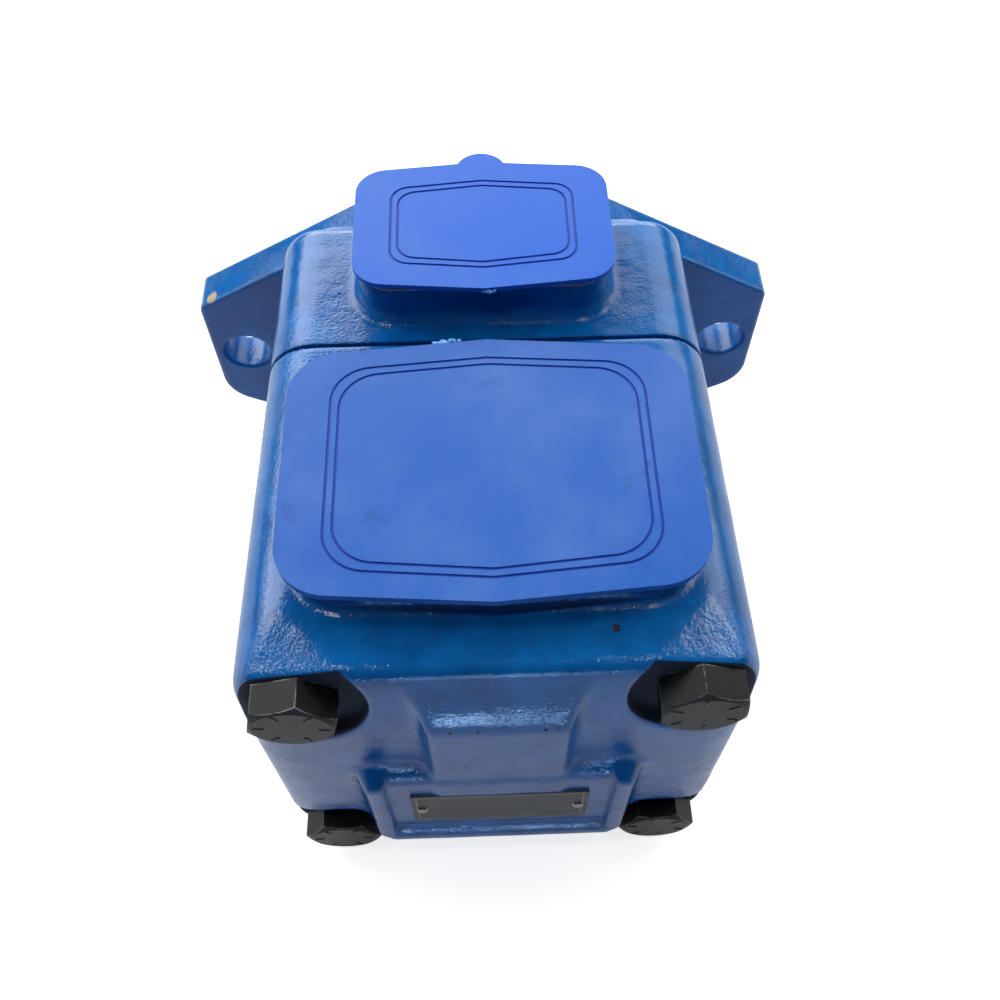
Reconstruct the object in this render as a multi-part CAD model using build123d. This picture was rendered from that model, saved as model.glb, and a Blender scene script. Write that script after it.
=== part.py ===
from build123d import *
import math
import os

# Two-bolt flange vane pump, millimetres.
# Origin: centre of the mounting face, on the shaft axis.  +Y points out of the front along the
# shaft, +Z up through the two ports, +X to the right.  "depth" is measured back from the mounting face.

# flange and pilot
PILOT_R = 63.5
PILOT_LENGTH = 12.7
FLANGE_THICK = 15.0
FLANGE_BOLT_SPACING = 181.0
FLANGE_HOLE_R = 8.75
FLANGE_HALF_LENGTH = 103.2
FLANGE_END_HALF_HEIGHT = 24.5
FLANGE_WAIST_X = 27.0

# front body
HALF_HEIGHT = 67.6
PARTING_DEPTH = 71.0
PARTING_HALF = 67.6
PARTING_GAP = 0.9
PARTING_LAND_HALF = 62.0
BODY_FRONT_HALF = 65.6
CORNER_R = 16.0
BODY_FRONT_EDGE_R = 4.5
BODY_NECK = 4.0
NECK_CORNER_R = 13.0

# rear cover
COVER_REAR_HALF = 69.4
SPOTFACE_DEPTH = 176.3
REAR_FACE_DEPTH = 182.0
# end-face roll-over: depth, half width, half height, corner radius
DOME_ROWS = [(173.5, COVER_REAR_HALF, 67.45, 17.0), (176.6, 68.9, 67.0, 16.6), (179.2, 66.6, 63.0, 15.0),
             (181.2, 61.5, 51.0, 13.0), (182.0, 56.0, 38.0, 12.0)]
POCKET_R = 19.0

# ports: flat pads on top of the castings
OUTLET_DEPTH = 38.1
OUTLET_BORE_R = 15.9
OUTLET_PAD_TOP = 81.0
OUTLET_PAD_X = 76.0
OUTLET_PAD_Y = 47.0
OUTLET_BOLTS_X = 58.7
OUTLET_BOLTS_Y = 30.2
OUTLET_BOLT_R = 5.56
INLET_DEPTH = 121.0
INLET_BORE_R = 25.4
INLET_PAD_TOP = 75.0
INLET_PAD_X = 102.0
INLET_PAD_Y = 74.0
INLET_BOLTS_X = 77.8
INLET_BOLTS_Y = 42.9
INLET_BOLT_R = 6.35
PORT_THREAD_DEPTH = 18.0

# hex screws that hold the cover on the body
SCREW_SQUARE = 105.8
SCREW_R = 7.15
SCREW_HOLE_R = 7.9
SCREW_AF = 22.2
SCREW_HEAD = 9.1
SCREW_LENGTH = 133.5
TAPPED_CLEARANCE = 0.06

# shaft, seal and front bearing
SHAFT_R = 15.875
SHAFT_END = 58.7
KEY_SIZE = 7.94
KEY_LENGTH = 31.75
KEY_END_GAP = 9.0
KEY_SEAT = 4.0
JOURNAL_R = 17.5
BEARING_R = 36.0
BEARING_WIDTH = 17.0
BEARING_FRONT = 6.6
BALL_R = 5.5
BALL_COUNT = 9
BALL_PITCH_R = 26.75
RACE_CLEARANCE = 0.3
SEAL_R = 26.0
SEAL_WIDTH = 8.0
SEAL_LAND_R = 16.5
SEAL_LIP_CLEARANCE = 0.08
HUB_BORE_R = 17.5
HUB_R = 22.5

# cartridge
CARTRIDGE_R = 53.0
PLATE_BORE_R = 54.0
PLATE_FIT = 0.15
PLATE_FRONT_DEPTH = 50.4
OUTLET_PLATE_THICK = 25.6
PLATE_NECK = 5.2
FLEX_THICK = 3.0
RING_WIDTH = 38.0
INLET_PLATE_THICK = 26.0
CHAMBER_R = 58.0
ROTOR_R = 36.0
ROTOR_SIDE_CLEARANCE = 0.1
CAM_MINOR_R = 36.8
CAM_MAJOR_R = 41.8
VANE_COUNT = 10
VANE_THICK = 4.76
VANE_SLOT_CLEARANCE = 0.08
VANE_TIP_R = 36.3
VANE_FOOT_R = 23.0
SLOT_FOOT_R = 21.0
SPLINE_TEETH = 14
SPLINE_TIP_R = 14.2
SPLINE_ROOT_R = 12.6
SPLINE_CLEARANCE = 0.15
TAIL_R = 12.0
TAIL_CLEARANCE = 0.05
TAIL_STANDOUT = 0.0
TAIL_RECESS = 6.0
TAIL_RECESS_CLEARANCE = 2.5
CARTRIDGE_SCREW_R = 3.0
CARTRIDGE_SCREW_CIRCLE = 47.4

# nameplate
PLATE_FACE_DEPTH = 186.2
PAD_RIDGE = 1.8
STEM_HALF = 18.8
NAMEPLATE_X = 54.0
NAMEPLATE_Z = 25.0
NAMEPLATE_THICK = 0.8
NAMEPLATE_CENTRE_Z = -16.0

# port caps
CAP_THICK = 3.0
CAP_RIM_LIFT = 1.3
CAP_LAND_INSET = 4.5
CAP_SPIGOT_CLEARANCE = 0.5
CAP_SPIGOT_LENGTH = 8.0
CAP_LINE_WIDTH = 0.8
CAP_LINE_DEPTH = 0.35

flex_front = PLATE_FRONT_DEPTH + OUTLET_PLATE_THICK
ring_front = flex_front + FLEX_THICK
ring_rear = ring_front + RING_WIDTH
inlet_plate_front = ring_rear + FLEX_THICK
inlet_plate_rear = inlet_plate_front + INLET_PLATE_THICK
shaft_tail = inlet_plate_rear + TAIL_STANDOUT
screw_half = SCREW_SQUARE / 2
screw_places = [(-screw_half, screw_half), (screw_half, screw_half),
                (-screw_half, -screw_half), (screw_half, -screw_half)]
screw_turns = [43.0, 24.0, 4.0, -3.0]


def behind(depth):
    return Plane.XZ.offset(depth)


def disc(r, depth_0, depth_1):
    return extrude(behind(depth_0) * Circle(r), depth_1 - depth_0)


def ring(r_inner, r_outer, depth_0, depth_1):
    return disc(r_outer, depth_0, depth_1) - disc(r_inner, depth_0 - 1, depth_1 + 1)


def turned(points):
    # profile given as (radius, depth) pairs, turned about the shaft axis
    outline = Polyline(*[(r, -depth) for r, depth in points], close=True)
    return revolve(Plane.XY * make_face(outline), Axis.Y)


def pegs(places, r, depth_0, depth_1):
    out = Part()
    for x, z in places:
        out += extrude(behind(depth_0) * Pos(x, z) * Circle(r), depth_1 - depth_0)
    return out


def on_circle(r, start, count):
    step = 360 / count
    angles = [math.radians(start + step * i) for i in range(count)]
    return [(r * math.cos(a), r * math.sin(a)) for a in angles]


def square_section(depth, half, corner):
    return behind(depth) * RectangleRounded(2 * half, 2 * HALF_HEIGHT, corner)


def flange_outline():
    x, z, w, h = FLANGE_HALF_LENGTH, FLANGE_END_HALF_HEIGHT, FLANGE_WAIST_X, HALF_HEIGHT
    points = [(-x, z), (-w, h), (w, h), (x, z), (x, -z), (w, -h), (-w, -h), (-x, -z)]
    shape = make_face(Polyline(*points, close=True))
    waist = [v for v in shape.vertices() if abs(abs(v.X) - w) < 1]
    shape = fillet(waist, 30)
    tops = [v for v in shape.vertices() if abs(abs(v.X) - x) < 1 and v.Y > 0]
    shape = fillet(tops, 4)
    lows = [v for v in shape.vertices() if abs(abs(v.X) - x) < 1 and v.Y < 0 and v.Y < -20]
    return fillet(lows, 15)


def front_body():
    plate = extrude(behind(0) * flange_outline(), FLANGE_THICK)
    rear_rim = plate.faces().sort_by(Axis.Y)[0].edges()
    plate = fillet(rear_rim, 1.5)
    block_front = FLANGE_THICK + BODY_NECK
    block = loft([square_section(block_front, BODY_FRONT_HALF + 0.6, CORNER_R - 2),
                  square_section(PARTING_DEPTH, PARTING_HALF, CORNER_R)])
    front_rim = block.faces().sort_by(Axis.Y)[-1].edges()
    block = fillet(front_rim, BODY_FRONT_EDGE_R)
    neck_half = BODY_FRONT_HALF - BODY_NECK - 1
    block += loft([dome_section(FLANGE_THICK - 1, neck_half, HALF_HEIGHT - BODY_NECK - 2, NECK_CORNER_R),
                   dome_section(block_front + 2, BODY_FRONT_HALF - 1, HALF_HEIGHT - 2, NECK_CORNER_R)])
    pad_plane = Plane((0, -OUTLET_DEPTH, 40))
    pad = extrude(pad_plane * RectangleRounded(OUTLET_PAD_X, OUTLET_PAD_Y, 11), OUTLET_PAD_TOP - 40)
    block += pad
    foot = [e for e in block.edges() if abs(e.center().Z - HALF_HEIGHT) < 3.5
            and e.center().Y < -FLANGE_THICK - 14 and abs(e.center().X) < OUTLET_PAD_X / 2 + 1
            and e.center().Y > -PARTING_DEPTH + 2]
    block = fillet(foot, 4.5)
    body = plate + block + disc(PILOT_R, -PILOT_LENGTH, 1)
    pilot_rim = [e for e in body.edges() if abs(e.center().Y - PILOT_LENGTH) < 0.01]
    body = chamfer(pilot_rim, 1.2)

    # bearing bore, seal bore, hub and outlet chamber
    bearing_rear = BEARING_WIDTH - BEARING_FRONT
    body -= disc(BEARING_R, -PILOT_LENGTH - 1, bearing_rear)
    body -= disc(BEARING_R + 1.9, -BEARING_FRONT - 2.6, -BEARING_FRONT)
    body -= disc(SEAL_R, bearing_rear - 1, bearing_rear + 2.6 + SEAL_WIDTH + 0.4)
    body -= disc(HUB_BORE_R, 10, 60)
    body -= ring(HUB_R, 49.0, 27.0, PLATE_FRONT_DEPTH - 0.4)
    body -= disc(PLATE_BORE_R, PLATE_FRONT_DEPTH - 0.4, PARTING_DEPTH + 1)
    body -= ring(56.6, 60.2, PARTING_DEPTH - 2.6, PARTING_DEPTH + 1)
    body -= pegs(screw_places, SCREW_R + TAPPED_CLEARANCE, 37.0, PARTING_DEPTH + 1)
    body -= rim_relief(PARTING_DEPTH - PARTING_GAP, PARTING_DEPTH + 1)
    half = FLANGE_BOLT_SPACING / 2
    body -= pegs([(-half, 0), (half, 0)], FLANGE_HOLE_R, -1, FLANGE_THICK + 1)
    mouths = [e for e in body.edges().filter_by(GeomType.CIRCLE)
              if abs(abs(e.arc_center.X) - half) < 0.1 and abs(e.arc_center.Y + FLANGE_THICK) < 0.1]
    body = fillet(mouths, 1.0)

    # outlet port and its four tapped holes
    body -= Pos(0, -OUTLET_DEPTH, 60) * Cylinder(OUTLET_BORE_R, 44)
    body -= port_taps(OUTLET_DEPTH, OUTLET_BOLTS_X, OUTLET_BOLTS_Y, OUTLET_BOLT_R, OUTLET_PAD_TOP)
    return body


def rim_relief(depth_0, depth_1):
    land = RectangleRounded(2 * PARTING_LAND_HALF, 2 * PARTING_LAND_HALF, CORNER_R - 5)
    return extrude(behind(depth_0) * (Rectangle(160, 160) - land), depth_1 - depth_0)


def port_taps(depth, spacing_x, spacing_y, r, top):
    out = Part()
    for sx in (-1, 1):
        for sy in (-1, 1):
            place = Pos(sx * spacing_x / 2, -depth + sy * spacing_y / 2, top - PORT_THREAD_DEPTH / 2)
            out += place * Cylinder(r, PORT_THREAD_DEPTH + 0.001)
    return out


def dome_section(depth, half_x, half_z, corner):
    return behind(depth) * RectangleRounded(2 * half_x, 2 * half_z, corner)


def corner_facet(sx, sz):
    # plane just behind each screw corner where the casting dips towards the screw seat
    rear = SPOTFACE_DEPTH - 0.8
    a = Vector(sx * 51, 14 - rear, sz * HALF_HEIGHT)
    b = Vector(sx * 37, -rear, sz * HALF_HEIGHT)
    c = Vector(sx * 57, -rear, sz * (HALF_HEIGHT - 3.4))
    normal = (b - a).cross(c - a).normalized()
    if normal.Z * sz < 0:
        normal = normal * -1
    return extrude(Plane(a, z_dir=normal) * Rectangle(70, 70), 12)


def rear_cover():
    # straight walls, then the end face rolls over and leans forward towards its rim
    cover = loft([square_section(PARTING_DEPTH, PARTING_HALF, CORNER_R),
                  dome_section(*DOME_ROWS[0])])
    cover += loft([dome_section(*row) for row in DOME_ROWS])
    for sx, sz in ((-1, 1), (1, 1), (-1, -1), (1, -1)):
        cover -= corner_facet(sx, sz)
    cover += rear_stem() + nameplate_pad()
    cover -= pegs(screw_places, POCKET_R, SPOTFACE_DEPTH, REAR_FACE_DEPTH + 20)
    pad_plane = Plane((0, -INLET_DEPTH, 50))
    cover += extrude(pad_plane * RectangleRounded(INLET_PAD_X, INLET_PAD_Y, 13), INLET_PAD_TOP - 50)
    foot_plane = Plane.XY.offset(HALF_HEIGHT - 0.6)
    foot = foot_plane * Pos(0, -INLET_DEPTH) * RectangleRounded(INLET_PAD_X + 6, INLET_PAD_Y + 8, 17)
    brow = foot_plane.offset(3.4) * Pos(0, -INLET_DEPTH) * RectangleRounded(INLET_PAD_X - 1, INLET_PAD_Y - 1, 12.5)
    cover += loft([foot, brow])

    # chamber round the cartridge, shaft recess and lightening core
    cover -= disc(CHAMBER_R, PARTING_DEPTH - 1, inlet_plate_rear)
    cover -= disc(TAIL_R + TAIL_RECESS_CLEARANCE, inlet_plate_rear - 1, shaft_tail + TAIL_RECESS)
    cover -= ring(TAIL_R + 13, CARTRIDGE_R - 6, inlet_plate_rear - 1, inlet_plate_rear + 14)
    cover -= pegs(screw_places, SCREW_HOLE_R, PARTING_DEPTH - 1, SPOTFACE_DEPTH + 1)
    cover -= rim_relief(PARTING_DEPTH - 1, PARTING_DEPTH + 0.3)
    cover -= Pos(0, -INLET_DEPTH, 70) * Cylinder(INLET_BORE_R, 60)
    cover -= port_taps(INLET_DEPTH, INLET_BOLTS_X, INLET_BOLTS_Y, INLET_BOLT_R, INLET_PAD_TOP)
    return cover


def rear_stem():
    face = PLATE_FACE_DEPTH
    profile = make_face(Polyline((-170, 60.5), (8.2 - face, 60.5), (1.6 - face, 50.5), (-face, 44.5),
                                 (-face, 0), (-170, 0), close=True))
    brow = [v for v in profile.vertices() if v.Y > 44 and v.X < -171]
    stem = extrude(Plane.YZ * fillet(brow, 2.2), STEM_HALF, both=True)
    sides = [e for e in stem.edges() if abs(abs(e.center().X) - STEM_HALF) < 0.1 and e.center().Y < -178]
    stem = fillet(sides, 1.8)
    # drafted skirt where the stem runs out into the end face
    return stem + loft([pad_section(face - 7.2, STEM_HALF + 8, 62, -5, 5),
                        pad_section(face - 0.9, STEM_HALF - 0.2, 48, -5, 3)])


def pad_section(depth, half_x, top, bottom, corner):
    middle = (top + bottom) / 2
    return behind(depth) * Pos(0, middle) * RectangleRounded(2 * half_x, top - bottom, corner)


def nameplate_pad():
    pad = loft([pad_section(PLATE_FACE_DEPTH - 10.2, 53.5, 35, -62, 8),
                pad_section(PLATE_FACE_DEPTH, 38.0, 7.5, -43.5, 3)])
    ridge = loft([pad_section(PLATE_FACE_DEPTH - 0.5, 38.2, 7.8, -44, 3),
                  pad_section(PLATE_FACE_DEPTH + PAD_RIDGE, 36.6, 6, -42, 3)])
    window = behind(PLATE_FACE_DEPTH) * Pos(0, 6) * Rectangle(67, 89)
    return pad + (ridge - extrude(window, 5))


def cover_screws():
    out = Part()
    for (x, z), turn in zip(screw_places, screw_turns):
        blank = extrude(behind(SPOTFACE_DEPTH) * RegularPolygon(SCREW_AF / 2, 6, major_radius=False),
                        SCREW_HEAD)
        cone = turned([(0, SPOTFACE_DEPTH - 0.1), (17, SPOTFACE_DEPTH - 0.1),
                       (17, SPOTFACE_DEPTH + SCREW_HEAD - 3.2),
                       (SCREW_AF / 2 - 0.7, SPOTFACE_DEPTH + SCREW_HEAD), (0, SPOTFACE_DEPTH + SCREW_HEAD)])
        head = blank & cone
        shank = disc(SCREW_R, SPOTFACE_DEPTH - SCREW_LENGTH, SPOTFACE_DEPTH)
        tip = shank.edges().filter_by(GeomType.CIRCLE).sort_by(Axis.Y)[-1]
        screw = Rot(0, turn, 0) * (head + chamfer(tip, 1.2))
        out += Pos(x, 0, z) * screw
    return out


def drive_shaft():
    seal_rear = 30.0
    points = [(0, -SHAFT_END), (SHAFT_R - 1.2, -SHAFT_END), (SHAFT_R, -SHAFT_END + 1.2), (SHAFT_R, -11.2),
              (JOURNAL_R - 0.4, -11.2), (JOURNAL_R, -10.8),
              (JOURNAL_R, -BEARING_FRONT - 1.6), (JOURNAL_R - 0.9, -BEARING_FRONT - 1.6),
              (JOURNAL_R - 0.9, -BEARING_FRONT), (JOURNAL_R, -BEARING_FRONT),
              (JOURNAL_R, BEARING_WIDTH - BEARING_FRONT), (20, BEARING_WIDTH - BEARING_FRONT),
              (20, BEARING_WIDTH - BEARING_FRONT + 2.2), (SEAL_LAND_R, BEARING_WIDTH - BEARING_FRONT + 2.2),
              (SEAL_LAND_R, seal_rear), (15.2, seal_rear + 1), (15.2, ring_front - 4),
              (SPLINE_ROOT_R, ring_front - 2), (SPLINE_ROOT_R, ring_rear), (TAIL_R, ring_rear + 1),
              (TAIL_R, shaft_tail - 1), (TAIL_R - 1, shaft_tail), (0, shaft_tail)]
    shaft = turned(points)
    shaft += extrude(behind(ring_front - 2) * spline_outline(0), RING_WIDTH + 2)
    return shaft - key_block()


def spline_outline(clearance):
    tip, root = SPLINE_TIP_R + clearance, SPLINE_ROOT_R + clearance
    step = 2 * math.pi / SPLINE_TEETH
    points = []
    for i in range(SPLINE_TEETH):
        for offset, r in ((-0.30, root), (-0.19, tip), (0.19, tip), (0.30, root)):
            a = (i + offset * (1 + clearance * 0.5)) * step
            points.append((r * math.cos(a), r * math.sin(a)))
    return make_face(Polyline(*points, close=True))


def key_block():
    middle = -(SHAFT_END - KEY_END_GAP - KEY_LENGTH / 2)
    place = behind(middle - KEY_LENGTH / 2) * Pos(0, SHAFT_R - KEY_SEAT + KEY_SIZE / 2)
    return extrude(place * Rectangle(KEY_SIZE, KEY_SIZE), KEY_LENGTH)


def bearing_outer_race():
    front, rear = -BEARING_FRONT, BEARING_WIDTH - BEARING_FRONT
    race = turned([(30.0, front), (BEARING_R, front), (BEARING_R, rear), (30.0, rear)])
    return race - ball_groove()


def bearing_inner_race():
    front, rear = -BEARING_FRONT, BEARING_WIDTH - BEARING_FRONT
    race = turned([(JOURNAL_R, front), (23.5, front), (23.5, rear), (JOURNAL_R, rear)])
    return race - ball_groove()


def ball_depth():
    return BEARING_WIDTH / 2 - BEARING_FRONT


def ball_groove():
    return behind(ball_depth()) * Torus(BALL_PITCH_R, BALL_R + RACE_CLEARANCE)


def bearing_balls():
    out = Part()
    for x, z in on_circle(BALL_PITCH_R, 90, BALL_COUNT):
        out += Pos(x, -ball_depth(), z) * Sphere(BALL_R)
    return out


def bearing_cage():
    cage = ring(BALL_PITCH_R - 1.5, BALL_PITCH_R + 1.5, ball_depth() - 7.3, ball_depth() + 7.3)
    for x, z in on_circle(BALL_PITCH_R, 90, BALL_COUNT):
        cage -= Pos(x, -ball_depth(), z) * Sphere(BALL_R + 0.2)
    return cage


def snap_ring(r_inner, r_outer, depth_0, thick, gap_angle, lug_r):
    clip = ring(r_inner, r_outer, depth_0, depth_0 + thick)
    mouth = extrude(behind(depth_0 - 1) * Pos(0, -(r_inner + r_outer) / 2) * Rectangle(gap_angle, 16), thick + 2)
    clip -= mouth
    for side in (-1, 1):
        place = behind(depth_0) * Pos(side * (gap_angle / 2 + 2.2), -lug_r)
        clip += extrude(place * Circle(2.6), thick) - mouth
        clip -= extrude(behind(depth_0 - 1) * Pos(side * (gap_angle / 2 + 2.2), -lug_r) * Circle(1.1), thick + 2)
    return clip


def bearing_retaining_ring():
    return snap_ring(33.4, BEARING_R + 1.6, -BEARING_FRONT - 2.4, 2.4, 9.0, 32.6)


def shaft_retaining_ring():
    return snap_ring(JOURNAL_R - 0.7, 20.4, -BEARING_FRONT - 1.5, 1.5, 6.0, 20.6)


def seal_front():
    return BEARING_WIDTH - BEARING_FRONT + 2.6


def shaft_seal_case():
    front, rear = seal_front(), seal_front() + SEAL_WIDTH
    return turned([(SEAL_R, front), (SEAL_R, rear), (19.5, rear), (19.5, rear - 1), (SEAL_R - 1, rear - 1),
                   (SEAL_R - 1, front)])


def shaft_seal_lip():
    front, rear = seal_front() + 1.0, seal_front() + SEAL_WIDTH - 1.0
    lip = SEAL_LAND_R + SEAL_LIP_CLEARANCE
    return turned([(lip, front + 2.2), (lip + 1.2, front), (21.0, front), (21.0, front + 1.0), (20.0, rear - 1.2),
                   (SEAL_R - 1, rear - 1.2), (SEAL_R - 1, rear), (18.2, rear), (18.2, front + 3.6)])


def shaft_seal_spring():
    return behind(seal_front() + 2.6 + 0.9) * Torus(21.8, 0.7)


def outlet_support_plate():
    front = PLATE_FRONT_DEPTH
    plate = disc(PLATE_BORE_R - PLATE_FIT, front, flex_front - PLATE_NECK)
    plate += disc(CARTRIDGE_R, flex_front - PLATE_NECK, flex_front)
    plate -= disc(HUB_BORE_R, front - 1, flex_front + 1)
    plate -= ring(50.6, 56, front + 7, front + 11)
    plate -= ring(18.9, 21.9, front - 1, front + 2.4)
    plate -= kidneys(38.5, 6.2, (0, 180), front - 1, flex_front + 1)
    plate -= pegs(screw_circle(), CARTRIDGE_SCREW_R + TAPPED_CLEARANCE, flex_front - 14, flex_front + 1)
    plate -= pegs(dowel_circle(), CARTRIDGE_SCREW_R + 0.02, flex_front - 6, flex_front + 1)
    return plate


def kidneys(r, width, centres, depth_0, depth_1):
    # curved ports through a side plate, each centred on one angle
    out = Part()
    for angle in centres:
        sector = Polyline((0, 0), (80, 32), (80, -32), close=True)
        band = behind(depth_0) * (Circle(r + width / 2) - Circle(r - width / 2))
        cut = band & (behind(depth_0) * Rot(0, 0, angle + 22) * make_face(sector))
        out += extrude(cut, depth_1 - depth_0)
    return out


def screw_circle():
    return on_circle(CARTRIDGE_SCREW_CIRCLE, 90, 2)


def dowel_circle():
    return on_circle(CARTRIDGE_SCREW_CIRCLE, 0, 2)


def plate_outer_seal():
    depth = PLATE_FRONT_DEPTH + 9
    return behind(depth) * Torus(52.2, 1.6)


def plate_hub_seal():
    return ring(19.1, 21.7, PLATE_FRONT_DEPTH, PLATE_FRONT_DEPTH + 2.3)


def flex_plate(depth):
    plate = ring(17.0, CARTRIDGE_R, depth, depth + FLEX_THICK)
    plate -= kidneys(38.5, 6.2, (0, 180), depth - 1, depth + FLEX_THICK + 1)
    plate -= kidneys(38.5, 6.2, (90, 270), depth - 1, depth + FLEX_THICK + 1)
    places = screw_circle() + dowel_circle()
    return plate - pegs(places, CARTRIDGE_SCREW_R + 0.3, depth - 1, depth + FLEX_THICK + 1)


def cam_ring():
    points = []
    swing = (CAM_MAJOR_R - CAM_MINOR_R) / 2
    for step in range(72):
        a = math.radians(step * 5)
        r = (CAM_MAJOR_R + CAM_MINOR_R) / 2 - swing * math.cos(2 * a + math.radians(44))
        points.append((r * math.cos(a), r * math.sin(a)))
    profile = make_face(Polyline(*points, close=True))
    body = disc(CARTRIDGE_R, ring_front, ring_rear)
    body -= extrude(behind(ring_front - 1) * profile, RING_WIDTH + 2)
    places = screw_circle() + dowel_circle()
    return body - pegs(places, CARTRIDGE_SCREW_R + 0.3, ring_front - 1, ring_rear + 1)


def rotor():
    front, rear = ring_front + ROTOR_SIDE_CLEARANCE, ring_rear - ROTOR_SIDE_CLEARANCE
    body = disc(ROTOR_R, front, rear)
    body -= extrude(behind(front - 1) * spline_outline(SPLINE_CLEARANCE), rear - front + 2)
    width = VANE_THICK + 2 * VANE_SLOT_CLEARANCE
    slots = Part()
    for i in range(VANE_COUNT):
        turn = Rot(0, 0, 90 + 360 / VANE_COUNT * i)
        shape = Pos((SLOT_FOOT_R + 50) / 2) * Rectangle(50 - SLOT_FOOT_R, width) + Pos(SLOT_FOOT_R) * Circle(3.2)
        slots += extrude(behind(front - 1) * turn * shape, rear - front + 2)
    return body - slots


def in_slot(index, shape):
    return Rot(0, -360 / VANE_COUNT * index, 0) * shape


def vane(index):
    front, rear = ring_front + ROTOR_SIDE_CLEARANCE, ring_rear - ROTOR_SIDE_CLEARANCE
    height = VANE_TIP_R - VANE_FOOT_R
    blank = behind(front) * Pos(0, VANE_FOOT_R + height / 2) * Rectangle(VANE_THICK, height)
    body = extrude(blank, rear - front)
    tip = body.edges().filter_by(Axis.Y).group_by(Axis.Z)[-1].sort_by(Axis.X)[0]
    body = chamfer(tip, 1.1)
    middle = (front + rear) / 2
    notch = behind(middle - 8.2) * Pos(0, VANE_FOOT_R + 3) * Rectangle(VANE_THICK + 2, 10)
    return in_slot(index, body - extrude(notch, 16.4))


def vane_inserts():
    middle = (ring_front + ring_rear) / 2
    blank = behind(middle - 7.9) * Pos(0, 22.0 + 2.0) * Rectangle(VANE_THICK - 0.1, 4.0)
    insert = extrude(blank, 15.8)
    out = Part()
    for i in range(VANE_COUNT):
        out += in_slot(i, insert)
    return out


def inlet_support_plate():
    front, rear = inlet_plate_front, inlet_plate_rear
    plate = ring(TAIL_R + 3.5, CARTRIDGE_R, front, rear)
    for angle in (90, 270):
        plate -= kidneys(43.0, 22.0, (angle,), front - 1, front + 13)
    plate -= kidneys(38.5, 6.2, (0, 180), front - 1, front + 6)
    plate -= pegs(screw_circle(), CARTRIDGE_SCREW_R + 0.3, front - 1, rear + 1)
    plate -= pegs(screw_circle(), 5.4, rear - 6.5, rear + 1)
    return plate - pegs(dowel_circle(), CARTRIDGE_SCREW_R + 0.02, front - 1, front + 6)


def tail_bushing():
    return ring(TAIL_R + TAIL_CLEARANCE, TAIL_R + 3.5, inlet_plate_front + 1, inlet_plate_rear - 1)


def cartridge_screws():
    head_face = inlet_plate_rear - 6.5
    out = Part()
    for x, z in screw_circle():
        shank = disc(CARTRIDGE_SCREW_R, flex_front - 12, head_face)
        head = disc(5.0, head_face, head_face + 6)
        socket = extrude(behind(head_face + 3) * RegularPolygon(2.5, 6, major_radius=False), 4)
        out += Pos(x, 0, z) * (shank + head - socket)
    return out


def cartridge_dowels():
    return pegs(dowel_circle(), CARTRIDGE_SCREW_R, flex_front - 5.5, inlet_plate_front + 5.5)


def body_seal():
    return ring(56.8, 60.0, PARTING_DEPTH - 2.5, PARTING_DEPTH)


def peaked_outline(half_x, far_side, far_mid, near_side, near_mid, corner):
    points = [(-half_x, far_side), (0, far_mid), (half_x, far_side),
              (half_x, near_side), (0, near_mid), (-half_x, near_side)]
    face = make_face(Polyline(*points, close=True))
    corners = [v for v in face.vertices() if abs(v.X) > 1]
    return fillet(corners, corner)


def line_groove(outline, top):
    band = outline - offset(outline, -CAP_LINE_WIDTH)
    return extrude(Plane.XY.offset(top - CAP_LINE_DEPTH) * band, 2)


def cap_plate(outline, face, lift):
    # the rim stands off the pad, only the land inside it touches
    plate = extrude(Plane.XY.offset(face + lift) * outline, CAP_THICK - lift)
    return plate + extrude(Plane.XY.offset(face) * offset(outline, -CAP_LAND_INSET), lift + 0.5)


def outlet_port_cap():
    top = OUTLET_PAD_TOP + CAP_THICK
    outline = peaked_outline(39.2, -14.0, -10.6, -61.3, -64.8, 10)
    outline += Pos(0, -14.6) * Circle(8.0)
    cap = cap_plate(outline, OUTLET_PAD_TOP, CAP_RIM_LIFT)
    for inset in (0.0, 2.2):
        line = peaked_outline(28.4 - inset, -21.6 - inset, -18.8 - inset, -53.8 + inset, -56.8 + inset, 6)
        cap -= line_groove(line, top)
    spigot = OUTLET_BORE_R - CAP_SPIGOT_CLEARANCE
    return cap + cap_spigot(OUTLET_DEPTH, spigot, OUTLET_PAD_TOP)


def inlet_port_cap():
    top = INLET_PAD_TOP + CAP_THICK
    outline = peaked_outline(56.2, -83.6, -79.0, -159.2, -163.4, 15)
    cap = cap_plate(outline, INLET_PAD_TOP, CAP_RIM_LIFT / 2)
    for inset in (0.0, 2.4):
        line = peaked_outline(44.2 - inset, -88.8 - inset, -85.4 - inset, -153.2 + inset, -157.0 + inset, 12)
        cap -= line_groove(line, top)
    spigot = INLET_BORE_R - CAP_SPIGOT_CLEARANCE
    return cap + cap_spigot(INLET_DEPTH, spigot, INLET_PAD_TOP)


def cap_spigot(depth, r, face):
    wall = Cylinder(r, CAP_SPIGOT_LENGTH) - Cylinder(r - 1.8, CAP_SPIGOT_LENGTH + 1)
    return Pos(0, -depth, face - CAP_SPIGOT_LENGTH / 2) * wall


def nameplate():
    place = behind(PLATE_FACE_DEPTH) * Pos(0, NAMEPLATE_CENTRE_Z)
    plate = extrude(place * RectangleRounded(NAMEPLATE_X, NAMEPLATE_Z, 1), NAMEPLATE_THICK)
    return plate - pegs(pin_places(), 1.25, PLATE_FACE_DEPTH - 1, PLATE_FACE_DEPTH + 3)


def pin_places():
    return [(-NAMEPLATE_X / 2 + 3, NAMEPLATE_CENTRE_Z), (NAMEPLATE_X / 2 - 3, NAMEPLATE_CENTRE_Z)]


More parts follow.
